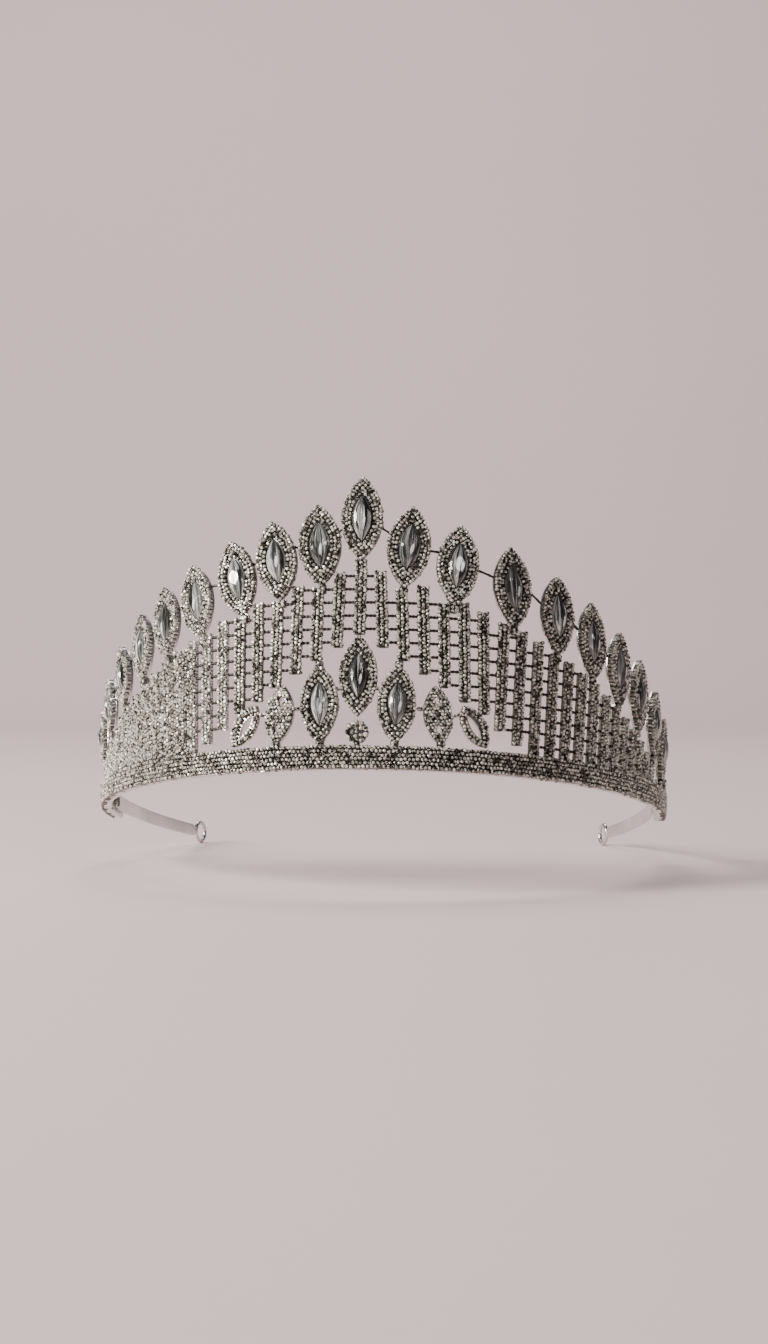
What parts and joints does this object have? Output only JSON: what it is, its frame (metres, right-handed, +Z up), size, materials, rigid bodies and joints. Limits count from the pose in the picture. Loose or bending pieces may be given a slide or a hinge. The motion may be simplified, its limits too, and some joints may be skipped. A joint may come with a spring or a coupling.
{
  "type": "bridal tiara",
  "caption": "Oval bridal tiara: pave base band, lattice of pave bars, a crown of marquise stones, a lower floral motif and two springy arms with end rings.",
  "frame": {"origin": "centre of the bounding box in X and Y, on the table under the end rings", "axes": "+Z up, +Y towards the back where the arms end, -Y towards the ornament's front, +X to the right seen from the front; the band's plane is tilted 11.3 degrees about X with its front raised"},
  "size_m": [0.149, 0.1514, 0.0985],
  "materials": {
    "rhodium_silver": "polished",
    "pave_silver": "stone-set",
    "clear_crystal": "faceted"
  },
  "bodies": {
    "ornament": {"base_band": "pave_silver", "lattice_left": "pave_silver", "lattice_centre": "pave_silver", "lattice_right": "pave_silver", "crown_setting_01": "pave_silver", "crown_setting_02": "pave_silver", "crown_setting_03": "pave_silver", "crown_setting_04": "pave_silver", "crown_setting_05": "pave_silver", "crown_setting_06": "pave_silver", "crown_setting_07": "pave_silver", "crown_setting_08": "pave_silver", "crown_setting_09": "pave_silver", "crown_setting_10": "pave_silver", "crown_setting_11": "pave_silver", "crown_setting_12": "pave_silver", "crown_setting_13": "pave_silver", "crown_setting_14": "pave_silver", "crown_setting_15": "pave_silver", "crown_setting_16": "pave_silver", "crown_setting_17": "pave_silver", "crown_setting_18": "pave_silver", "crown_setting_19": "pave_silver", "crown_stone_01": "clear_crystal", "crown_stone_02": "clear_crystal", "crown_stone_03": "clear_crystal", "crown_stone_04": "clear_crystal", "crown_stone_05": "clear_crystal", "crown_stone_06": "clear_crystal", "crown_stone_07": "clear_crystal", "crown_stone_08": "clear_crystal", "crown_stone_09": "clear_crystal", "crown_stone_10": "clear_crystal", "crown_stone_11": "clear_crystal", "crown_stone_12": "clear_crystal", "crown_stone_13": "clear_crystal", "crown_stone_14": "clear_crystal", "crown_stone_15": "clear_crystal", "crown_stone_16": "clear_crystal", "crown_stone_17": "clear_crystal", "crown_stone_18": "clear_crystal", "crown_stone_19": "clear_crystal", "low_centre_setting": "pave_silver", "low_left_setting": "pave_silver", "low_right_setting": "pave_silver", "low_centre_stone": "clear_crystal", "low_left_stone": "clear_crystal", "low_right_stone": "clear_crystal", "open_leaf_left": "pave_silver", "open_leaf_right": "pave_silver", "slant_leaf_left": "pave_silver", "slant_leaf_right": "pave_silver", "flower_cluster": "pave_silver"},
    "left_arm_body": {"left_arm": "rhodium_silver", "left_end_ring": "rhodium_silver"},
    "right_arm_body": {"right_arm": "rhodium_silver", "right_end_ring": "rhodium_silver"}
  },
  "joints": [
    {"name": "left_arm_flex", "type": "hinge", "parent": "ornament", "child": "left_arm_body", "pos_m": [-0.07062, 0.01756, 0.01116], "axis": [0, 0.1959, 0.9806], "range_deg": [0, 8], "stiffness_Nm_per_rad": 0.8},
    {"name": "right_arm_flex", "type": "hinge", "parent": "ornament", "child": "right_arm_body", "pos_m": [0.07062, 0.01756, 0.01116], "axis": [0, -0.1959, -0.9806], "range_deg": [0, 8], "stiffness_Nm_per_rad": 0.8}
  ]
}
